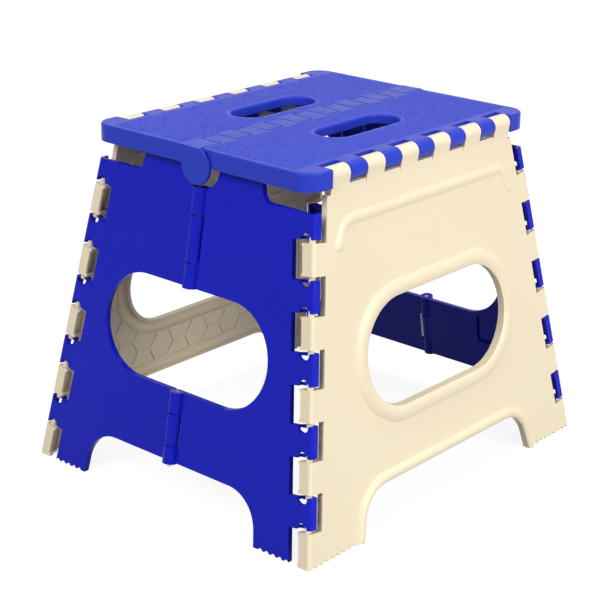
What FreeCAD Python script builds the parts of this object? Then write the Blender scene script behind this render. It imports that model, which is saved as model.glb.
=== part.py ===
import FreeCAD, Part
import math
import os
from FreeCAD import Placement, Rotation, Vector

os.makedirs("parts", exist_ok=True)

# A folding step stool in two colours. X runs to the right, Y to the back, Z up from the floor,
# and the origin is on the floor in the middle. All sizes are in millimetres.

# The tread
HEIGHT = 305.0
RIM = 15.0
TREAD_X = 121.6
TREAD_Y = 145.7
TREAD_CORNER = 17.0
TREAD_EDGE = 1.8
PLATE = 3.0
RIM_WALL = 2.6
UNDERSIDE = HEIGHT - RIM

# The four corner lines run up to one point, so that the stool can fold
APEX = 1060.0
CORNER_X = 155.3
CORNER_Y = 182.0
SIDE_OUT = 5.5
FRONT_OUT = 5.0
INNER_FACE = 0.3
SIDE_LEAN = math.atan(CORNER_X / APEX)

# Hinge lines
SIDE_HINGE_X = 113.5
SIDE_HINGE_Z = HEIGHT - RIM / 2
SIDE_BARREL = 7.45
TOP_HINGE_Z = 289.7
TOP_BARREL = 5.0
CENTRE_OUT = 6.0
CENTRE_BARREL = 6.2
ROD = 1.5
RUNNING = 0.06
OPEN_BORE = 2.3
OPEN_ROOM = 0.35
DISC_ROOM = 0.5

# Where the left half's rod stands in the right half during the fold, as seen from the front
WANDER = [(0.0, 0.0), (4.0, 1.2), (5.7, 3.6), (4.9, 5.7), (1.3, 5.2)]

# Fingers along the middle of the tread
FINGER_PITCH = 18.7
FINGER_RIGHT_TIP = -16.4
FINGER_LEFT_TIP = 4.2
FINGER_GAP = 1.3
DISC_RADIUS = 15.8
DISC_PROUD = 1.0
DISC_THICK = 2.5

# Knuckles along the sides of the tread
SIDE_KNUCKLES = 11
SIDE_REACH = 119.0
KNUCKLE_GAP = 0.5
COMB_X = 104.8

# Hand slots in the tread
SLOT_X = 48.0
SLOT_HALF_WIDTH = 16.5
SLOT_HALF_LENGTH = 47.0
SLOT_WALL = 2.6
SLOT_DEPTH = 8.0
SLOT_LIP = 2.0

# Ribs under the tread; the hollow starts further out on the left, where the finger tips hang over
RIB_HALF = 1.0
END_RIBS_Y = (62.0, 88.0, 116.0)
SLOT_RIBS_Y = (-30.0, 0.0, 30.0)
LONG_RIB_X = 83.0
END_RIB_X = 48.0
HOLLOW_RIGHT = 14.6
HOLLOW_LEFT = 20.6

# Corner tabs
TAB_BASE = 28.8
TAB_PITCH = 27.83
TAB_GAP = 1.3
TAB_SKIN = 2.7
TAB_WALL = 2.4
WALL_PROUD = 1.5
FRONT_WRAP = 3.5
SIDE_WRAP = 6.0
SCOOP_RADIUS = 5.4
SCOOP_SHIFT = -3.0
CORNER_ROUND = 3.0
SIDE_NOTCH = 10.0
FRONT_NOTCH = 16.5
STUB_RADIUS = 2.6
STUB_LENGTH = 5.4

# Side panel outline
SIDE_TOP = 289.0
SIDE_TOP_END = 118.4
SIDE_TOP_END_Z = 284.0
SKIN_TOP = 262.0
SIDE_OVAL = (95.0, 96.0, 188.0)
SIDE_ARCH = (119.0, 108.0, 39.0, 30.0)
BEAD_HEIGHT = 3.2
OVAL_BEAD_LINE = 6.5
OVAL_BEAD_HALF = 8.0
ARCH_BEAD_LINE = 4.0
ARCH_BEAD_HALF = 5.0
RIDGE = [(-115, 243, 0), (-106, 261, 14), (106, 261, 14), (115, 243, 0)]
RIDGE_HALF = 5.0
RIDGE_HEIGHT = 2.0

# Relief on the side panel's inner face: hollows behind the beads, and a honeycomb of thin ribs
OVAL_HOLLOW_LINE = 8.0
OVAL_HOLLOW_RADIUS = 5.0
ARCH_HOLLOW_LINE = 7.5
ARCH_HOLLOW_RADIUS = 4.0
ARCH_HOLLOW_END = 8.0
HEX_ACROSS = 26.8
HEX_RIB = 1.6
HEX_DEPTH = 1.2
HEX_START = 14.0
HEX_TOP = 274.0
HEX_EDGE = 22.0
HEX_FROM_HOLLOW = 6.5

# Front and back panel outline
FRONT_TOP = 289.2
EAR_TOP = 272.5
EAR_X = 68.0
EAR_ROUND = 9.0
DISC_NOTCH = 17.5
DISC_NOTCH_Z = 271.5
FRONT_OVAL = (93.0, 101.0, 189.0)
FRONT_ARCH = (101.0, 95.0, 41.0, 32.0)
BACK_DROP = 7.5
SEAM = 0.4
UPPER_KNUCKLES = (271.5, 248.5, 209.8, 188.0)
LOWER_KNUCKLES = (102.0, 83.0, 55.5, 39.6)
KNUCKLE_ROOM = 1.5
KNUCKLE_END = 0.4
POCKET_X = 27.0
POCKET_Z = 29.0
POCKET_RIB = 2.2
POCKET_DEPTH = 2.4
POCKET_COLUMNS = 6
POCKET_ROWS = 10
POCKET_MARGIN = 3.0

# Feet
TOOTH_PITCH = 7.0
TOOTH_RADIUS = 2.4
TOOTH_DROP = 0.6

FAR = 400.0
UP = Vector(0, 0, 1)


def face_of(corners, place):
    """A face inside an outline of (a, b, corner radius); place turns (a, b) into a point."""
    cuts = []
    for index, (a, b, radius) in enumerate(corners):
        here = Vector(a, b, 0)
        before = Vector(corners[index - 1][0], corners[index - 1][1], 0)
        following = corners[(index + 1) % len(corners)]
        after = Vector(following[0], following[1], 0)
        back = (before - here).normalize()
        on = (after - here).normalize()
        half = back.getAngle(on) / 2
        reach = radius / math.tan(half)
        crown = here + (back + on).normalize() * (radius / math.sin(half) - radius)
        cuts.append((here + back * reach, crown, here + on * reach, radius))
    edges = []
    for index, (start, crown, end, radius) in enumerate(cuts):
        if radius > 0:
            edges.append(Part.Arc(place(start), place(crown), place(end)).toShape())
        next_start = cuts[(index + 1) % len(cuts)][0]
        if (next_start - end).Length > 1e-6:
            edges.append(Part.LineSegment(place(end), place(next_start)).toShape())
    return Part.Face(Part.Wire(edges))


def seen_from_front(corners, y_low, y_high):
    """A block whose outline is drawn in X and Z."""
    face = face_of(corners, lambda p: Vector(p.x, y_low, p.y))
    return face.extrude(Vector(0, y_high - y_low, 0))


def seen_from_side(corners, x_low, x_high):
    """A block whose outline is drawn in Y and Z."""
    face = face_of(corners, lambda p: Vector(x_low, p.x, p.y))
    return face.extrude(Vector(x_high - x_low, 0, 0))


def seen_from_above(corners, z_low, z_high):
    """A block whose outline is drawn in X and Y."""
    face = face_of(corners, lambda p: Vector(p.x, p.y, z_low))
    return face.extrude(UP * (z_high - z_low))


def box(x_low, x_high, y_low, y_high, z_low, z_high):
    return Part.makeBox(x_high - x_low, y_high - y_low, z_high - z_low, Vector(x_low, y_low, z_low))


def sharp(points):
    return [(a, b, 0) for a, b in points]


def fused(shapes):
    first, *others = shapes
    return first.fuse(others).removeSplitter() if others else first


def stadium(half_length, low, high, grow=0.0):
    """Outline of a slot with round ends, lying along its first direction."""
    low -= grow
    high += grow
    reach = half_length + grow
    radius = (high - low) / 2 - 0.001
    return [(-reach, low, radius), (reach, low, radius), (reach, high, radius), (-reach, high, radius)]


def arch(foot, shoulder, top, radius):
    """Outline of the opening between two feet, open to the floor."""
    slope = (foot - shoulder) / top
    low = foot + slope * 10
    return [(-low, -10, 0), (low, -10, 0), (shoulder, top, radius), (-shoulder, top, radius)]


def mirrored_x(shape):
    return shape.mirror(Vector(), Vector(1, 0, 0))


def mirrored_y(shape):
    return shape.mirror(Vector(), Vector(0, 1, 0))


def turned(shape):
    copy = shape.copy()
    copy.rotate(Vector(), UP, 180)
    return copy


def narrowing(z):
    """How much narrower the stool is at a height than at the floor."""
    return 1 - z / APEX


def corner_at(z):
    """The front right corner line."""
    return Vector(CORNER_X * narrowing(z), -CORNER_Y * narrowing(z), z)


def centre_at(z):
    """The front panel's centre hinge line."""
    return Vector(0, -(CORNER_Y + CENTRE_OUT) * narrowing(z), z)


def along(line, z_low, z_high, radius):
    """A round bar about a line, cut square to it."""
    start = line(z_low)
    run = line(z_high) - start
    return Part.makeCylinder(radius, run.Length, start, run)


def zone(line, z_low, z_high, reach=45.0):
    """The space between two planes square to a line."""
    start = line(z_low)
    run = line(z_high) - start
    block = Part.makeBox(2 * reach, 2 * reach, run.Length, Vector(-reach, -reach, 0))
    block.Placement = Placement(start, Rotation(UP, run)).multiply(block.Placement)
    return block


def corner_column(corners, z_low=-12.0, z_high=300.0):
    """A column that follows the corner line; the outline is measured from that line."""
    foot = corner_at(z_low)
    face = face_of(corners, lambda p: foot + p)
    return face.extrude(corner_at(z_high) - foot)


def side_slab(inner, outer, z_low=-12.0, z_high=330.0):
    """The right side panel's leaning slab, between two distances beyond the corner line."""
    low = CORNER_X * narrowing(z_low)
    high = CORNER_X * narrowing(z_high)
    outline = [(low + inner, z_low), (low + outer, z_low), (high + outer, z_high), (high + inner, z_high)]
    return seen_from_front(sharp(outline), -FAR, FAR)


def front_slab(inner, outer, z_low=-12.0, z_high=330.0):
    """The front panel's leaning slab, between two distances beyond the corner line."""
    low = -CORNER_Y * narrowing(z_low)
    high = -CORNER_Y * narrowing(z_high)
    outline = [(low - inner, z_low), (high - inner, z_high), (high - outer, z_high), (low - outer, z_low)]
    return seen_from_side(sharp(outline), -FAR, FAR)


def tab_zones(first, count):
    """Height ranges of every other corner tab."""
    return [(TAB_BASE + TAB_PITCH * step, TAB_BASE + TAB_PITCH * (step + 1))
            for step in range(first, first + 2 * count, 2)]


SIDE_ZONES = [(-14.0, TAB_BASE)] + tab_zones(1, 4)
FRONT_ZONES = tab_zones(0, 4) + [(TAB_BASE + 8 * TAB_PITCH, 320.0)]


def teeth(first, last, across):
    """Round grooves that leave a row of teeth under a foot."""
    grooves = []
    count = int((last - first) / TOOTH_PITCH)
    spare = (last - first - count * TOOTH_PITCH) / 2
    for step in range(count + 1):
        place = first + spare + step * TOOTH_PITCH
        grooves.append(across(place))
    return Part.makeCompound(grooves)


def groove_along_y(x):
    return Part.makeCylinder(TOOTH_RADIUS, 60, Vector(x, -210, -TOOTH_DROP), Vector(0, 1, 0))


def groove_along_x(y):
    return Part.makeCylinder(TOOTH_RADIUS, 60, Vector(130, y, -TOOTH_DROP), Vector(1, 0, 0))


def side_point(y, z, depth):
    """A point on the right side panel, at a distance outside its outer face."""
    surface = Vector(CORNER_X * narrowing(z) + SIDE_OUT, y, z)
    return surface + Vector(math.cos(SIDE_LEAN), 0, math.sin(SIDE_LEAN)) * depth


def bead_section(half_width, height=BEAD_HEIGHT):
    """Radius of a bead's round section, and how far its centre is outside the panel's outer face."""
    radius = (half_width ** 2 + height ** 2) / (2 * height)
    return radius, height - radius


def bar_along(corners, radius, depth):
    """A round bar in the right side panel along an open line of (y, z, corner radius)."""
    edges = face_of(corners, lambda p: side_point(p.x, p.y, depth)).OuterWire.OrderedEdges[:-1]
    first = edges[0]
    last = edges[-1]
    start = first.valueAt(first.FirstParameter)
    end = last.valueAt(last.LastParameter)
    ring = Part.Wire([Part.Circle(start, first.tangentAt(first.FirstParameter), radius).toShape()])
    bar = Part.Wire(edges).makePipeShell([ring], True, True)
    return bar.fuse([Part.makeSphere(radius, start), Part.makeSphere(radius, end)])


def bar_round_oval(grow, radius, depth):
    """A round bar in the right side panel all round its oval, at a distance outside the opening."""
    reach, low, high = SIDE_OVAL
    straight = reach - (high - low) / 2
    turn = (high - low) / 2 + grow
    level = side_point(0, (low + high) / 2, 0)
    pieces = [bar_along_y(radius, depth, way * turn, -straight, straight) for way in (-1, 1)]
    for way in (-1, 1):
        ring = Part.makeTorus(turn, radius, Vector(depth, way * straight, 0), Vector(1, 0, 0))
        y_low, y_high = sorted((way * straight, way * FAR))
        pieces.append(ring.common(box(-60, 60, y_low, y_high, -FAR, FAR)))
    shape = fused(pieces)
    shape.Placement = Placement(level, Rotation(Vector(0, 1, 0), -math.degrees(SIDE_LEAN)))
    return shape


def side_hinge_cells():
    """Ranges in Y of the knuckles along the side of the tread."""
    width = 2 * SIDE_REACH / SIDE_KNUCKLES
    return [(-SIDE_REACH + width * step, -SIDE_REACH + width * (step + 1)) for step in range(SIDE_KNUCKLES)]


def finger_cells():
    """Ranges in Y of the fingers along the middle of the tread."""
    return [(FINGER_PITCH * (step - 6.5), FINGER_PITCH * (step - 5.5)) for step in range(13)]


def bar_along_y(radius, x, z, y_low, y_high):
    return Part.makeCylinder(radius, y_high - y_low, Vector(x, y_low, z), Vector(0, 1, 0))


def wander_prism(grow, y_low, y_high):
    """The space that a bar of the left half needs in the right half, with the bar's radius as grow."""
    points = [Vector(x, y_low, TOP_HINGE_Z + z) for x, z in WANDER]
    wire = Part.makePolygon(points + points[:1]).makeOffset2D(grow)
    return Part.Face(wire).extrude(Vector(0, y_high - y_low, 0))


def tread_shell(inner_x, tread_inner_x):
    """The right half of the tread as a shell: plate, rim walls, slot wall and ribs, without hinges."""
    outline = [(tread_inner_x, -TREAD_Y, 0), (TREAD_X, -TREAD_Y, TREAD_CORNER),
               (TREAD_X, TREAD_Y, TREAD_CORNER), (tread_inner_x, TREAD_Y, 0)]
    body = seen_from_above(outline, UNDERSIDE, HEIGHT)
    rim_edges = [edge for edge in body.Edges
                 if edge.BoundBox.ZMin > HEIGHT - 0.01 and edge.BoundBox.XMax > tread_inner_x + 0.01]
    body = body.makeFillet(TREAD_EDGE, rim_edges)
    slot = [(y, x, radius) for x, y, radius in
            stadium(SLOT_HALF_LENGTH, SLOT_X - SLOT_HALF_WIDTH, SLOT_X + SLOT_HALF_WIDTH)]
    slot_wall = [(y, x, radius) for x, y, radius in
                 stadium(SLOT_HALF_LENGTH, SLOT_X - SLOT_HALF_WIDTH, SLOT_X + SLOT_HALF_WIDTH, SLOT_WALL)]
    inner_y = TREAD_Y - RIM_WALL
    hollow_x = COMB_X - RIM_WALL - RIB_HALF
    hollow = box(inner_x, hollow_x, -inner_y, inner_y, UNDERSIDE - 1, HEIGHT - PLATE)
    keep = [seen_from_above(slot_wall, HEIGHT - SLOT_DEPTH, HEIGHT)]
    for y in END_RIBS_Y:
        for end in (-y, y):
            keep.append(box(inner_x - 1, hollow_x + 1, end - RIB_HALF, end + RIB_HALF, UNDERSIDE, HEIGHT))
    for y in SLOT_RIBS_Y:
        near = SLOT_X - SLOT_HALF_WIDTH - 1
        far = SLOT_X + SLOT_HALF_WIDTH + 1
        keep.append(box(inner_x - 1, near, y - RIB_HALF, y + RIB_HALF, UNDERSIDE, HEIGHT))
        keep.append(box(far, hollow_x + 1, y - RIB_HALF, y + RIB_HALF, UNDERSIDE, HEIGHT))
    keep.append(box(LONG_RIB_X - RIB_HALF, LONG_RIB_X + RIB_HALF, -inner_y - 1, inner_y + 1, UNDERSIDE, HEIGHT))
    for end in (-1, 1):
        y_near, y_far = sorted((end * END_RIBS_Y[0], end * (inner_y + 1)))
        keep.append(box(END_RIB_X - RIB_HALF, END_RIB_X + RIB_HALF, y_near, y_far, UNDERSIDE, HEIGHT))
    body = body.cut(hollow.cut(Part.makeCompound(keep)))
    body = body.cut(seen_from_above(slot, UNDERSIDE - 1, HEIGHT + 1))
    lip = [edge for edge in body.Edges if is_slot_lip(edge)]
    body = body.makeFillet(SLOT_LIP, lip)
    for cell in side_hinge_cells()[0::2]:
        body = body.cut(box(COMB_X, TREAD_X + 1, cell[0] - KNUCKLE_GAP, cell[1] + KNUCKLE_GAP,
                            UNDERSIDE - 1, HEIGHT + 1))
    for low, high in side_hinge_cells()[1::2]:
        nose = bar_along_y(SIDE_BARREL, SIDE_HINGE_X, SIDE_HINGE_Z, low, high)
        block = box(SIDE_HINGE_X, TREAD_X + 1, low, high, UNDERSIDE - 1, HEIGHT + 1)
        body = body.cut(block.cut(nose))
    bore = bar_along_y(ROD + RUNNING, SIDE_HINGE_X, SIDE_HINGE_Z, -SIDE_REACH - 1.0, SIDE_REACH + 1.0)
    return body.cut(bore)


def is_slot_lip(edge):
    """Whether an edge runs round the slot on the tread's top face."""
    span = edge.BoundBox
    in_slot = abs(span.Center.x - SLOT_X) < SLOT_HALF_WIDTH + 1 and abs(span.Center.y) < SLOT_HALF_LENGTH + 1
    return in_slot and span.ZMin > HEIGHT - 0.01 and span.XMax < SLOT_X + SLOT_HALF_WIDTH + 0.5


def webs(low, high, x_low, x_high):
    """The two walls that carry a knuckle of the tread's centre hinge under one finger."""
    pieces = []
    for start in (low, high - TAB_WALL):
        pieces.append(bar_along_y(TOP_BARREL, 0, TOP_HINGE_Z, start, start + TAB_WALL))
        pieces.append(box(x_low, x_high, start, start + TAB_WALL, UNDERSIDE, HEIGHT - PLATE))
    return pieces


def right_tread():
    body = tread_shell(HOLLOW_RIGHT, FINGER_LEFT_TIP + FINGER_GAP)
    cells = finger_cells()
    right_cells = cells[0::2]
    left_spaces = [(-TREAD_Y - 1, cells[0][0])] + cells[1::2] + [(cells[-1][1], TREAD_Y + 1)]
    for low, high in left_spaces:
        gap = FINGER_GAP / 2
        body = body.cut(box(-1, 12.0, low - gap, high + gap, UNDERSIDE - 1, HEIGHT - PLATE))
    for low, high in right_cells:
        low += FINGER_GAP / 2
        high -= FINGER_GAP / 2
        pocket = box(4.0, 15.0, low + TAB_WALL, high - TAB_WALL, UNDERSIDE - 1, HEIGHT - PLATE)
        plate = box(FINGER_RIGHT_TIP, 6.0, low, high, HEIGHT - PLATE, HEIGHT)
        body = fused([body.cut(pocket), plate] + webs(low, high, -4.0, 14.0))
    body = body.cut(wander_prism(ROD + OPEN_ROOM, cells[0][0] - 1, cells[-1][1] + 1))
    for end in (-1, 1):
        y_inner = end * (TREAD_Y + DISC_PROUD - DISC_THICK - 0.3)
        y_low, y_high = sorted((y_inner, end * (TREAD_Y + 2)))
        backing_low, backing_high = sorted((y_inner, y_inner - end * 3.2))
        backing = box(12.0, 27.0, backing_low, backing_high, UNDERSIDE, HEIGHT - PLATE + 1)
        body = fused([body, backing]).cut(wander_prism(DISC_RADIUS + DISC_ROOM, y_low, y_high))
    return body


def left_tread():
    shell = mirrored_x(tread_shell(HOLLOW_LEFT, -FINGER_RIGHT_TIP + FINGER_GAP))
    cells = finger_cells()
    left_cells = [(-TREAD_Y, cells[0][0])] + cells[1::2] + [(cells[-1][1], TREAD_Y)]
    pieces = [shell]
    for index, (low, high) in enumerate(left_cells):
        first = index == 0
        last = index == len(left_cells) - 1
        low += 0 if first else FINGER_GAP / 2
        high -= 0 if last else FINGER_GAP / 2
        web_low = low + DISC_THICK if first else low
        web_high = high - DISC_THICK if last else high
        shell_x = FINGER_RIGHT_TIP - FINGER_GAP - 1
        pieces.append(box(shell_x, FINGER_LEFT_TIP, low, high, HEIGHT - PLATE, HEIGHT))
        pieces += webs(web_low, web_high, FINGER_RIGHT_TIP - 2.6, 4.0)
    for end in (-1, 1):
        y_low, y_high = sorted((end * (TREAD_Y + DISC_PROUD), end * (TREAD_Y + DISC_PROUD - DISC_THICK)))
        disc = bar_along_y(DISC_RADIUS, 0, TOP_HINGE_Z, y_low, y_high)
        face_y = end * (TREAD_Y + DISC_PROUD)
        front_rim = [edge for edge in disc.Edges if abs(edge.BoundBox.YMin - face_y) < 0.01
                     and abs(edge.BoundBox.YMax - face_y) < 0.01]
        disc = disc.makeFillet(0.8, front_rim)
        pieces.append(disc.common(box(-30, 30, -FAR, FAR, 0, HEIGHT)))
        neck_low, neck_high = sorted((end * TREAD_Y, end * (TREAD_Y - DISC_THICK)))
        pieces.append(box(-18.0, 4.0, neck_low, neck_high, UNDERSIDE, HEIGHT - PLATE))
    body = fused(pieces)
    return body.cut(bar_along_y(ROD + RUNNING, 0, TOP_HINGE_Z, -TREAD_Y + 1, TREAD_Y - 1))


def end_walls(outline, zones, line):
    """Walls across the ends of each tab."""
    column = corner_column(outline)
    walls = []
    for low, high in zones:
        for start in (low + TAB_GAP, high - TAB_GAP - TAB_WALL):
            if -5 < start < EAR_TOP - 5:
                walls.append(column.common(zone(line, start, start + TAB_WALL)))
    return walls


def stubs(zones):
    """Pins that stand out of the ends of the side panel's tabs, on the corner line."""
    pins = []
    for low, high in zones:
        ends = [(high - TAB_GAP - TAB_WALL / 2, 1)]
        if low > 0:
            ends.append((low + TAB_GAP + TAB_WALL / 2, -1))
        for z, way in ends:
            start = corner_at(z)
            run = (corner_at(z + 10) - start).normalize() * way
            pins.append(Part.makeCylinder(STUB_RADIUS, STUB_LENGTH, start, run))
            pins.append(Part.makeCone(STUB_RADIUS, STUB_RADIUS - 1.0, 1.0, start + run * STUB_LENGTH, run))
    return pins


def side_panel():
    """The right side panel, with its tabs, knuckles, beads and feet."""
    plate_outline = [(-(CORNER_Y * narrowing(-12) - SIDE_NOTCH), -12), (CORNER_Y * narrowing(-12) - SIDE_NOTCH, -12),
                     (CORNER_Y * narrowing(SIDE_TOP_END_Z) - SIDE_NOTCH, SIDE_TOP_END_Z),
                     (SIDE_TOP_END, SIDE_TOP_END_Z), (SIDE_TOP_END, SIDE_TOP), (-SIDE_TOP_END, SIDE_TOP),
                     (-SIDE_TOP_END, SIDE_TOP_END_Z),
                     (-(CORNER_Y * narrowing(SIDE_TOP_END_Z) - SIDE_NOTCH), SIDE_TOP_END_Z)]
    outline = seen_from_side(sharp(plate_outline), 50, 200)
    plate = side_slab(INNER_FACE, SIDE_OUT).common(outline)

    inner_round = CORNER_ROUND - TAB_SKIN
    skin = [(SIDE_OUT, 15, 0), (SIDE_OUT, -FRONT_OUT, CORNER_ROUND), (-SIDE_WRAP, -FRONT_OUT, 0),
            (-SIDE_WRAP, TAB_SKIN - FRONT_OUT, 0), (SIDE_OUT - TAB_SKIN, TAB_SKIN - FRONT_OUT, inner_round),
            (SIDE_OUT - TAB_SKIN, 15, 0)]
    wall_end = -SIDE_WRAP - WALL_PROUD
    wall = [(SIDE_OUT, 14, 0), (SIDE_OUT, -FRONT_OUT, CORNER_ROUND), (wall_end, -FRONT_OUT, 1.0),
            (wall_end, 0.5, 1.0), (-5, 6, 0), (1.0, 14, 0)]
    notch = [(-30, -12, 0), (12, -12, 0), (12, SIDE_NOTCH, 0), (-30, SIDE_NOTCH, 0)]
    corner = fused([corner_column(skin, -12, SKIN_TOP)] + end_walls(wall, SIDE_ZONES, corner_at))
    notch_column = corner_column(notch, -20, 340)
    notches = [notch_column.common(zone(corner_at, low - TAB_GAP, high + TAB_GAP)) for low, high in FRONT_ZONES]
    corner = fused([corner.cut(notches)] + stubs(SIDE_ZONES))
    floor_wall = corner_column(wall, 0, TAB_WALL)
    corner = corner.fuse(floor_wall)

    body = fused([plate.cut(notches + [mirrored_y(n) for n in notches]), corner, mirrored_y(corner)])
    beads = [bar_round_oval(OVAL_BEAD_LINE, *bead_section(OVAL_BEAD_HALF)),
             bar_along(arch_line(ARCH_BEAD_LINE, -10), *bead_section(ARCH_BEAD_HALF)),
             bar_along(RIDGE, *bead_section(RIDGE_HALF, RIDGE_HEIGHT))]
    outside = side_slab(SIDE_OUT - 1.5, SIDE_OUT + 12)
    raised = [shape.common(outside) for shape in beads]
    body = fused([body] + raised)

    body = body.cut(seen_from_side(stadium(*SIDE_OVAL), 50, 200))
    body = body.cut(seen_from_side(arch(*SIDE_ARCH), 50, 200))
    knuckles = []
    for low, high in side_hinge_cells()[0::2]:
        neck = [(113.0, 284.0), (118.9, 284.0), (120.9, SIDE_HINGE_Z), (108.0, SIDE_HINGE_Z)]
        knuckles.append(seen_from_front(sharp(neck), low, high))
        knuckles.append(bar_along_y(SIDE_BARREL, SIDE_HINGE_X, SIDE_HINGE_Z, low, high))
    body = fused([body] + knuckles)
    body = body.cut(bar_along_y(ROD + RUNNING, SIDE_HINGE_X, SIDE_HINGE_Z, -FAR, FAR))
    body = body.cut(box(-FAR, FAR, -FAR, FAR, -50, 0))
    foot_teeth = teeth(-184, -122, groove_along_x)
    body = body.cut([foot_teeth, mirrored_y(foot_teeth)])
    body = body.cut(bar_round_oval(OVAL_HOLLOW_LINE, OVAL_HOLLOW_RADIUS, INNER_FACE - SIDE_OUT))
    arch_hollow = arch_line(ARCH_HOLLOW_LINE, ARCH_HOLLOW_END)
    body = body.cut(bar_along(arch_hollow, ARCH_HOLLOW_RADIUS, INNER_FACE - SIDE_OUT))
    return body.cut(honeycomb())


def arch_line(grow, end):
    """A line round the side panel's arch, at a distance outside the opening, with both ends at a height."""
    foot, shoulder, top, radius = SIDE_ARCH
    low = foot - (foot - shoulder) / top * end + grow
    return [(-low, end, 0), (-shoulder - grow, top + grow, radius + grow),
            (shoulder + grow, top + grow, radius + grow), (low, end, 0)]


def hexagon(y, z, across):
    """Corners of a six-sided cell whose top and bottom lie level."""
    side = across / math.sqrt(3)
    return [(y + side * math.cos(math.radians(turn)), z + side * math.sin(math.radians(turn)))
            for turn in range(0, 360, 60)]


def honeycomb():
    """Shallow six-sided pockets in the right side panel's inner face, with thin ribs left between them."""
    low = CORNER_Y * narrowing(0) - HEX_EDGE
    high = CORNER_Y * narrowing(HEX_TOP) - HEX_EDGE
    field = seen_from_side(sharp([(-low, 0), (low, 0), (high, HEX_TOP), (-high, HEX_TOP)]), 50, 200)
    oval_room = stadium(*SIDE_OVAL, OVAL_HOLLOW_LINE + HEX_FROM_HOLLOW)
    foot, shoulder, top, radius = SIDE_ARCH
    grow = ARCH_HOLLOW_LINE + HEX_FROM_HOLLOW
    arch_room = arch(foot + grow, shoulder + grow, top + grow, radius + grow)
    room = side_slab(INNER_FACE - 1, INNER_FACE + HEX_DEPTH).common(field)
    room = room.cut([seen_from_side(oval_room, 50, 200), seen_from_side(arch_room, 50, 200)])
    column_pitch = HEX_ACROSS * math.sqrt(3) / 2
    columns = int(CORNER_Y / column_pitch)
    rows = int(HEX_TOP / HEX_ACROSS) + 1
    whole = (HEX_DEPTH + 1) * (HEX_ACROSS - HEX_RIB) ** 2 * math.sqrt(3) / 2
    pockets = []
    for column in range(-columns, columns + 1):
        for row in range(rows):
            z = HEX_START + (row + column % 2 / 2) * HEX_ACROSS
            cell = seen_from_side(sharp(hexagon(column * column_pitch, z, HEX_ACROSS - HEX_RIB)), 50, 200)
            pocket = cell.common(room)
            if pocket.Volume > whole / 8:
                pockets.append(pocket)
    return pockets


def scoops():
    """Half-round bites in the front face at the tabs' ends, where the side panel's pins show."""
    bites = []
    for low, high in FRONT_ZONES:
        for z in (low + TAB_GAP, high - TAB_GAP):
            if z < EAR_TOP - 5:
                centre = corner_at(z) + Vector(SCOOP_SHIFT, -CORNER_ROUND - 6, 0)
                bites.append(Part.makeCylinder(SCOOP_RADIUS, CORNER_ROUND + 5.5, centre, Vector(0, 1, 0)))
    return bites


def front_half(own, others, bore, drop=0.0):
    """
    The right half of the front panel with its own centre knuckles, and room for the others.
    The openings are lower by the drop.
    """
    slab = front_slab(INNER_FACE, FRONT_OUT)
    edge_low = CORNER_X * narrowing(-12) - FRONT_NOTCH
    edge_ear = CORNER_X * narrowing(EAR_TOP) - FRONT_NOTCH
    outline = [(SEAM, -12, 0), (edge_low, -12, 0), (edge_ear, EAR_TOP, 0), (EAR_X, EAR_TOP, EAR_ROUND),
               (EAR_X - 3.0, FRONT_TOP, 0), (SEAM, FRONT_TOP, 0)]
    plate = slab.common(seen_from_front(outline, -FAR, 0))
    inside = -FRONT_NOTCH - 1.5
    skin = [(inside, -FRONT_OUT, 0), (SIDE_OUT, -FRONT_OUT, CORNER_ROUND), (SIDE_OUT, FRONT_WRAP, 0),
            (SIDE_OUT - TAB_SKIN, FRONT_WRAP, 0),
            (SIDE_OUT - TAB_SKIN, TAB_SKIN - FRONT_OUT, CORNER_ROUND - TAB_SKIN),
            (inside, TAB_SKIN - FRONT_OUT, 0)]
    wall = [(inside, -FRONT_OUT, 0), (SIDE_OUT, -FRONT_OUT, CORNER_ROUND), (SIDE_OUT, 5, 3.5), (-4.5, 5, 3.5),
            (-9.5, -INNER_FACE, 0), (inside, -INNER_FACE, 0)]
    notch = [(-FRONT_NOTCH, -12, 0), (12, -12, 0), (12, 30, 0), (-FRONT_NOTCH, 30, 0)]
    top_zone = [(FRONT_ZONES[-1][0], EAR_TOP + TAB_GAP)]
    walls = end_walls(wall, FRONT_ZONES[:-1] + top_zone, corner_at)
    corner = fused([corner_column(skin, -12, EAR_TOP + 0.5)] + walls)
    notch_column = corner_column(notch, -20, 340)
    notches = [notch_column.common(zone(corner_at, low - TAB_GAP, high + TAB_GAP)) for low, high in SIDE_ZONES]
    body = fused([plate, corner]).cut(notches + scoops())
    body = body.cut(along(corner_at, 10, 290, STUB_RADIUS + RUNNING))

    reach, low, high = FRONT_OVAL
    body = body.cut(seen_from_front(stadium(reach, low - drop, high - drop), -FAR, 0))
    foot, shoulder, top, radius = FRONT_ARCH
    body = body.cut(seen_from_front(arch(foot, shoulder, top - drop, radius), -FAR, 0))
    notch_outline = [(-DISC_NOTCH, DISC_NOTCH_Z, 14.0), (DISC_NOTCH, DISC_NOTCH_Z, 14.0),
                     (DISC_NOTCH + 2.0, FRONT_TOP + 5, 0), (-DISC_NOTCH - 2.0, FRONT_TOP + 5, 0)]
    body = body.cut(seen_from_front(notch_outline, -FAR, 0))
    body = pocketed(body, drop)
    for low, high in others:
        body = body.cut(along(centre_at, low - KNUCKLE_END, high + KNUCKLE_END, CENTRE_BARREL + KNUCKLE_ROOM))
    barrels = [along(centre_at, low + KNUCKLE_END, high - KNUCKLE_END, CENTRE_BARREL) for low, high in own]
    body = fused([body] + barrels)
    body = body.cut(along(centre_at, 20, 280, bore))
    body = body.cut(box(-FAR, FAR, -FAR, FAR, -50, 0))
    body = body.cut(teeth(106, 146, groove_along_y))
    return body


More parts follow.
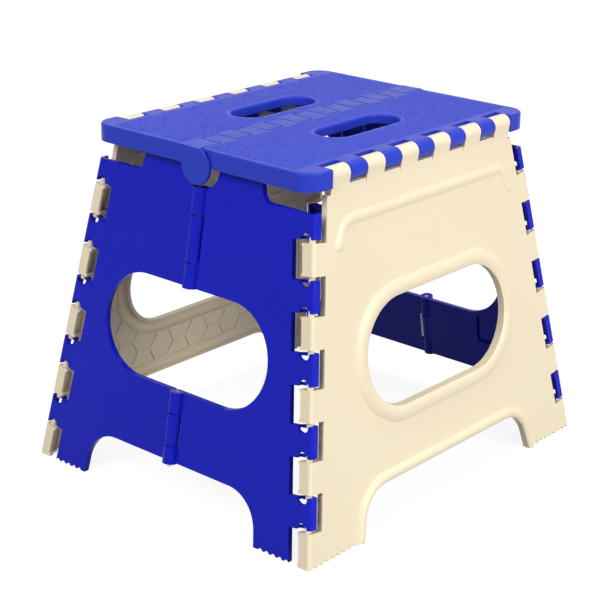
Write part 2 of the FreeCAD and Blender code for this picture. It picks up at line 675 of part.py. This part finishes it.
def pocketed(body, drop):
    """Shallow pockets in the panel's inner face, with ribs left between them."""
    pockets = []
    inside = front_slab(-5, FRONT_OUT - POCKET_DEPTH)
    for column in range(POCKET_COLUMNS):
        for row in range(POCKET_ROWS):
            x_low = CENTRE_BARREL + 2.8 + column * POCKET_X
            z_low = 6.0 + row * POCKET_Z
            x_high = x_low + POCKET_X - POCKET_RIB
            z_high = z_low + POCKET_Z - POCKET_RIB
            if pocket_fits(x_low, x_high, z_low, z_high, drop):
                pockets.append(box(x_low, x_high, -FAR, 0, z_low, z_high).common(inside))
    return body.cut(pockets)


def pocket_fits(x_low, x_high, z_low, z_high, drop):
    """Whether a pocket keeps a margin to the panel's edges and openings."""
    margin = POCKET_MARGIN
    for x in (x_low, x_high):
        for z in (z_low, (z_low + z_high) / 2, z_high):
            if x > CORNER_X * narrowing(z) - FRONT_NOTCH - margin:
                return False
            half, low, high = FRONT_OVAL
            radius = (high - low) / 2
            across = max(abs(x) - (half - radius), 0)
            if math.hypot(across, z + drop - (low + high) / 2) < radius + margin:
                return False
            foot, shoulder, top, round_off = FRONT_ARCH
            if z + drop < top + margin and x < foot + margin:
                return False
            if z > EAR_TOP - margin and x > EAR_X - 8:
                return False
            if z > DISC_NOTCH_Z - margin and x < DISC_NOTCH + 5:
                return False
            if z > FRONT_TOP - margin:
                return False
    return True


def knuckle_ranges(owner, drop=0.0):
    """
    Height ranges of the centre knuckles: the outer ones of each hinge, or the middle ones.
    The lower hinge is lower by the drop.
    """
    ranges = []
    lower_hinge = [height - drop for height in LOWER_KNUCKLES]
    for top, upper, lower, bottom in (UPPER_KNUCKLES, lower_hinge):
        if owner == "outer":
            ranges += [(upper, top), (bottom, lower)]
        else:
            ranges.append((lower, upper))
    return ranges


def rod_along_centre(z_low, z_high):
    return along(centre_at, z_low, z_high, ROD)


front_outer = knuckle_ranges("outer")
front_middle = knuckle_ranges("middle")
back_outer = knuckle_ranges("outer", BACK_DROP)
back_middle = knuckle_ranges("middle", BACK_DROP)
front_right = front_half(front_outer, front_middle, ROD + RUNNING)
front_left = mirrored_x(front_half(front_middle, front_outer, ROD + RUNNING))
back_left = turned(front_half(back_outer, back_middle, ROD + RUNNING, BACK_DROP))
back_right = turned(mirrored_x(front_half(back_middle, back_outer, OPEN_BORE, BACK_DROP)))
side_right = side_panel()
upper_rod = rod_along_centre(UPPER_KNUCKLES[3] + KNUCKLE_END, UPPER_KNUCKLES[0] - 1.0)
rod_low = LOWER_KNUCKLES[3] - 2.6
rod_high = LOWER_KNUCKLES[0] - 0.6
side_rod = bar_along_y(ROD, SIDE_HINGE_X, SIDE_HINGE_Z, -SIDE_REACH - 0.6, SIDE_REACH + 0.6)

parts = {
    "tread_right": right_tread(),
    "tread_left": left_tread(),
    "side_panel_right": side_right,
    "side_panel_left": turned(side_right),
    "front_panel_right": front_right,
    "front_panel_left": front_left,
    "back_panel_left": back_left,
    "back_panel_right": back_right,
    "tread_centre_rod": bar_along_y(ROD, 0, TOP_HINGE_Z, -TREAD_Y + 1.6, TREAD_Y - 1.6),
    "tread_side_rod_right": side_rod,
    "tread_side_rod_left": turned(side_rod),
    "front_upper_rod": upper_rod,
    "front_lower_rod": rod_along_centre(rod_low, rod_high),
    "back_upper_rod": turned(upper_rod),
    "back_lower_rod": turned(rod_along_centre(rod_low - BACK_DROP, rod_high - BACK_DROP)),
}

for name, shape in parts.items():
    solids = shape.Solids
    kept = solids[0] if len(solids) == 1 else shape
    print(name, "solids", len(solids), "valid", shape.isValid(), "volume", round(shape.Volume / 1000, 1), "cm3")
    kept.exportStep("parts/" + name + ".step")
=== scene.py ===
import math

import bmesh
import bpy
from mathutils import Matrix, Vector


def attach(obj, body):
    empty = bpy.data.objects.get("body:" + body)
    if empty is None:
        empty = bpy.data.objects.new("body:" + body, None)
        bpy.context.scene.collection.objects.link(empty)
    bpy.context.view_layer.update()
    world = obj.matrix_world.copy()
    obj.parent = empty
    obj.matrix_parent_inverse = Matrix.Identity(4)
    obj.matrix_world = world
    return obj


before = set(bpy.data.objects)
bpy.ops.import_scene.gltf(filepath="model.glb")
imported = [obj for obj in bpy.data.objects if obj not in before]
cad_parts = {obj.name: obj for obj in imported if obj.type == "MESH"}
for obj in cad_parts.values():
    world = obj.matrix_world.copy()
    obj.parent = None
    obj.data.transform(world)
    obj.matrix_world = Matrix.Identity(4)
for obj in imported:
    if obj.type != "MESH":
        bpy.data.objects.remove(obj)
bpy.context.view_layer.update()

# Sizes of the stool, in metres
HEIGHT = 0.305
TREAD_Y = 0.1457
COMB_X = 0.1048
FINGER_RIGHT_TIP = -0.0164
FINGER_LEFT_TIP = 0.0042
SLOT_X = 0.048
SLOT_HALF_WIDTH = 0.0165
SLOT_HALF_LENGTH = 0.047

# Moulded edges
EDGE_ROUND = 0.0004
WELD_DISTANCE = 0.000002
FLAT_ANGLE = math.radians(0.5)
SHARP_ANGLE = math.radians(40)

# Raised dots on the tread, and the plain margins round them
DOT_PITCH = 0.0025
DOT_RADIUS = 0.00085
DOT_TOP_SHARE = 0.5
DOT_HEIGHT = 0.00028
DOT_SINK = 0.00005
DOT_SIDES = 6
FINGER_MARGIN = 0.004
COMB_MARGIN = 0.003
END_MARGIN = 0.005
SLOT_MARGIN = 0.0045

# Surface of the plastic
FLOW_SCALE = 9.0
WAVE_SCALE = 26.0
WAVE_HEIGHT = 0.0009
WAVE_STRENGTH = 0.20
MARK_SCALE = 130.0
MARK_LOW = 0.35
MARK_HIGH = 0.70
MARK_SPREAD = 0.05
GRAIN_SCALE = 1400.0
GRAIN_STRENGTH = 0.25

# Surface of the steel
STEEL_COLOUR = (0.55, 0.55, 0.56, 1)
DRAWN_SCALE = 900.0
STEEL_SMOOTH = 0.22
STEEL_ROUGH = 0.42

# White studio
FLOOR_SIZE = 12
FLOOR_DROP = 0.0002
FLOOR_COLOUR = (0.2, 0.2, 0.2, 1)
FLOOR_ROUGHNESS = 0.7
FLOOR_GLOW = 0.88
AMBIENT = 0.05
WHITE = (1, 1, 1, 1)
LAMP_SIZE = 1.4

# Camera, from the photograph's perspective
AZIMUTH = math.radians(40.61)
ELEVATION = math.radians(20.29)
ROLL = math.radians(0.82)
DISTANCE = 1.4649
AIM = Vector((0, 0, 0.13605))
LENS = 98.2
SHIFT_X = -0.0207


def material(name):
    made = bpy.data.materials.new(name)
    made.use_nodes = True
    return made, made.node_tree.nodes, made.node_tree.links


def noise(nodes, scale, detail=3.0):
    texture = nodes.new("ShaderNodeTexNoise")
    texture.inputs["Scale"].default_value = scale
    texture.inputs["Detail"].default_value = detail
    return texture


def plastic(name, low, high, roughness, grain_height, shine):
    """Moulded plastic: a slightly uneven colour between low and high, with a fine surface grain."""
    made, nodes, links = material(name)
    shader = nodes["Principled BSDF"]
    place = nodes.new("ShaderNodeTexCoord")
    flow = noise(nodes, FLOW_SCALE)
    tint = nodes.new("ShaderNodeMix")
    tint.data_type = "RGBA"
    tint.inputs["A"].default_value = (*low, 1)
    tint.inputs["B"].default_value = (*high, 1)
    grain = noise(nodes, GRAIN_SCALE, 2.0)
    wave = noise(nodes, WAVE_SCALE, 2.0)
    marks = noise(nodes, MARK_SCALE, 4.0)
    gloss = nodes.new("ShaderNodeMapRange")
    gloss.inputs["From Min"].default_value = MARK_LOW
    gloss.inputs["From Max"].default_value = MARK_HIGH
    gloss.inputs["To Min"].default_value = roughness - MARK_SPREAD
    gloss.inputs["To Max"].default_value = roughness + MARK_SPREAD
    fine = nodes.new("ShaderNodeBump")
    fine.inputs["Distance"].default_value = grain_height
    fine.inputs["Strength"].default_value = GRAIN_STRENGTH
    broad = nodes.new("ShaderNodeBump")
    broad.inputs["Distance"].default_value = WAVE_HEIGHT
    broad.inputs["Strength"].default_value = WAVE_STRENGTH
    for texture in (flow, grain, wave, marks):
        links.new(place.outputs["Object"], texture.inputs["Vector"])
    links.new(flow.outputs["Fac"], tint.inputs["Factor"])
    links.new(tint.outputs["Result"], shader.inputs["Base Color"])
    links.new(marks.outputs["Fac"], gloss.inputs["Value"])
    links.new(gloss.outputs["Result"], shader.inputs["Roughness"])
    links.new(wave.outputs["Fac"], broad.inputs["Height"])
    links.new(grain.outputs["Fac"], fine.inputs["Height"])
    links.new(broad.outputs["Normal"], fine.inputs["Normal"])
    links.new(fine.outputs["Normal"], shader.inputs["Normal"])
    shader.inputs["Specular IOR Level"].default_value = shine
    return made


def steel(name):
    """Drawn wire, with fine streaks in its gloss."""
    made, nodes, links = material(name)
    shader = nodes["Principled BSDF"]
    shader.inputs["Metallic"].default_value = 1.0
    shader.inputs["Base Color"].default_value = STEEL_COLOUR
    place = nodes.new("ShaderNodeTexCoord")
    drawn = noise(nodes, DRAWN_SCALE)
    gloss = nodes.new("ShaderNodeMapRange")
    gloss.inputs["To Min"].default_value = STEEL_SMOOTH
    gloss.inputs["To Max"].default_value = STEEL_ROUGH
    links.new(place.outputs["Object"], drawn.inputs["Vector"])
    links.new(drawn.outputs["Fac"], gloss.inputs["Value"])
    links.new(gloss.outputs["Result"], shader.inputs["Roughness"])
    return made


BLUE = plastic("blue moulded plastic", low=(0.008, 0.012, 0.50), high=(0.012, 0.018, 0.57),
               roughness=0.27, grain_height=0.00003, shine=0.10)
# The tread's base blue is paler than the panels' blue. This lighter tone is painted sheen, standing in for
# the light that the top of the tread reflects.
TREAD_BLUE_WITH_PAINTED_SHEEN = plastic("blue tread plastic with painted sheen", low=(0.022, 0.044, 0.51), high=(0.028, 0.056, 0.60),
                     roughness=0.36, grain_height=0.00004, shine=0.16)
CREAM = plastic("cream moulded plastic", low=(0.91, 0.78, 0.56), high=(0.94, 0.82, 0.60),
                roughness=0.36, grain_height=0.00003, shine=0.3)
STEEL = steel("drawn steel")


def finish_of(name):
    """The material of one of the stool's parts, by its name."""
    if "rod" in name:
        return STEEL
    if name.startswith("side_panel"):
        return CREAM
    # The tread gets the paler blue, whose lighter tone is painted sheen.
    if name.startswith("tread"):
        return TREAD_BLUE_WITH_PAINTED_SHEEN
    return BLUE


def soften(node):
    """Fine rounded edges on a moulding, as a mould leaves them."""
    weld = node.modifiers.new("join", "WELD")
    weld.merge_threshold = WELD_DISTANCE
    flat = node.modifiers.new("flatten", "DECIMATE")
    flat.decimate_type = "DISSOLVE"
    flat.angle_limit = FLAT_ANGLE
    bevel = node.modifiers.new("edges", "BEVEL")
    bevel.width = EDGE_ROUND
    bevel.segments = 2
    bevel.limit_method = "ANGLE"
    bevel.angle_limit = SHARP_ANGLE
    bevel.use_clamp_overlap = True
    normals = node.modifiers.new("normals", "WEIGHTED_NORMAL")
    normals.keep_sharp = False
    normals.weight = 100


def dress(name, node):
    for place in node.material_slots:
        place.material = finish_of(name)
    if "rod" not in name:
        soften(node)


def mesh_piece(name, build, body, finish):
    """A new piece made by build(bmesh), which rides on a body."""
    made = bmesh.new()
    build(made)
    data = bpy.data.meshes.new(name)
    made.to_mesh(data)
    made.free()
    data.materials.append(finish)
    piece = bpy.data.objects.new(name, data)
    bpy.context.scene.collection.objects.link(piece)
    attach(piece, body)
    return piece


def in_slot(x, y, margin):
    """Whether a place on the tread is within a margin of the hand slot."""
    straight = SLOT_HALF_LENGTH - SLOT_HALF_WIDTH
    past = max(abs(y) - straight, 0)
    return math.hypot(abs(x) - SLOT_X, past) < SLOT_HALF_WIDTH + margin


def dot_ring(made, x, y, radius, z):
    turns = [math.tau * step / DOT_SIDES for step in range(DOT_SIDES)]
    return [made.verts.new((x + radius * math.cos(turn), y + radius * math.sin(turn), z)) for turn in turns]


def add_dot(made, x, y):
    """A low blunt cone that stands on the tread."""
    low = dot_ring(made, x, y, DOT_RADIUS, HEIGHT - DOT_SINK)
    high = dot_ring(made, x, y, DOT_RADIUS * DOT_TOP_SHARE, HEIGHT + DOT_HEIGHT)
    for step in range(DOT_SIDES):
        after = (step + 1) % DOT_SIDES
        made.faces.new((low[step], low[after], high[after], high[step]))
    made.faces.new(high)


def dots(side):
    """Builds the raised dots on one leaf of the tread; side is 1 on the right and -1 on the left."""
    fingers = FINGER_LEFT_TIP if side > 0 else -FINGER_RIGHT_TIP
    inner = fingers + FINGER_MARGIN
    outer = COMB_X - COMB_MARGIN
    row_pitch = DOT_PITCH / 2
    rows = int((TREAD_Y - END_MARGIN) / row_pitch)
    columns = int((outer - inner) / DOT_PITCH)

    def build(made):
        for row in range(-rows, rows + 1):
            y = row * DOT_PITCH / 2
            for column in range(columns):
                x = side * (inner + (column + 0.5 * (row % 2)) * DOT_PITCH)
                if not in_slot(x, y, SLOT_MARGIN):
                    add_dot(made, x, y)

    return build


def background_rays(nodes, links):
    """1 for the rays that show the white background: seen straight, mirrored or through glass."""
    rays = nodes.new("ShaderNodeLightPath")
    total = rays.outputs["Is Camera Ray"]
    for kind in ("Is Glossy Ray", "Is Transmission Ray"):
        larger = nodes.new("ShaderNodeMath")
        larger.operation = "MAXIMUM"
        links.new(total, larger.inputs[0])
        links.new(rays.outputs[kind], larger.inputs[1])
        total = larger.outputs["Value"]
    return total


def backdrop():
    """A white floor that keeps the stool's soft shadow."""
    bpy.ops.mesh.primitive_plane_add(size=FLOOR_SIZE, location=(0, 0, -FLOOR_DROP))
    floor = bpy.context.object
    floor.name = "floor"
    made, nodes, links = material("white floor")
    shader = nodes["Principled BSDF"]
    shader.inputs["Base Color"].default_value = FLOOR_COLOUR
    shader.inputs["Roughness"].default_value = FLOOR_ROUGHNESS
    glow = nodes.new("ShaderNodeEmission")
    glow.inputs["Color"].default_value = WHITE
    level = nodes.new("ShaderNodeMapRange")
    level.inputs["To Max"].default_value = FLOOR_GLOW
    links.new(background_rays(nodes, links), level.inputs["Value"])
    links.new(level.outputs["Result"], glow.inputs["Strength"])
    both = nodes.new("ShaderNodeAddShader")
    links.new(shader.outputs["BSDF"], both.inputs[0])
    links.new(glow.outputs["Emission"], both.inputs[1])
    links.new(both.outputs["Shader"], nodes["Material Output"].inputs["Surface"])
    floor.data.materials.append(made)


def sky():
    """White where it is seen, and dim as a light."""
    world = bpy.data.worlds.new("studio")
    bpy.context.scene.world = world
    world.use_nodes = True
    nodes = world.node_tree.nodes
    links = world.node_tree.links
    soft = nodes["Background"]
    soft.inputs["Color"].default_value = WHITE
    level = nodes.new("ShaderNodeMapRange")
    level.inputs["To Min"].default_value = AMBIENT
    level.inputs["To Max"].default_value = 1.0
    links.new(background_rays(nodes, links), level.inputs["Value"])
    links.new(level.outputs["Result"], soft.inputs["Strength"])


def lamp(name, place, power):
    """A round area lamp that points at the stool's middle."""
    data = bpy.data.lights.new(name, "AREA")
    data.shape = "DISK"
    data.size = LAMP_SIZE
    data.energy = power
    made = bpy.data.objects.new(name, data)
    made.location = place
    made.rotation_mode = "QUATERNION"
    made.rotation_quaternion = (AIM - Vector(place)).to_track_quat("-Z", "Y")
    bpy.context.scene.collection.objects.link(made)


def camera():
    data = bpy.data.cameras.new("camera")
    data.lens = LENS
    data.shift_x = SHIFT_X
    made = bpy.data.objects.new("camera", data)
    back = Vector((math.sin(AZIMUTH) * math.cos(ELEVATION), -math.cos(AZIMUTH) * math.cos(ELEVATION),
                   math.sin(ELEVATION)))
    made.location = AIM + back * DISTANCE
    made.rotation_mode = "QUATERNION"
    level = (-back).to_track_quat("-Z", "Y")
    made.rotation_quaternion = level @ Matrix.Rotation(ROLL, 3, "Z").to_quaternion()
    bpy.context.scene.collection.objects.link(made)
    bpy.context.scene.camera = made


for name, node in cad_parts.items():
    dress(name, node)
mesh_piece("tread_dots_right", dots(1), "tread_right", TREAD_BLUE_WITH_PAINTED_SHEEN)
mesh_piece("tread_dots_left", dots(-1), "tread_left", TREAD_BLUE_WITH_PAINTED_SHEEN)
backdrop()
sky()
lamp("key", (2.0, 0.1, 0.9), power=33)
lamp("fill", (0.1, -1.9, 1.7), power=40)
lamp("top", (0.1, 0.8, 2.2), power=14)
camera()
bpy.context.scene.view_settings.view_transform = "Standard"
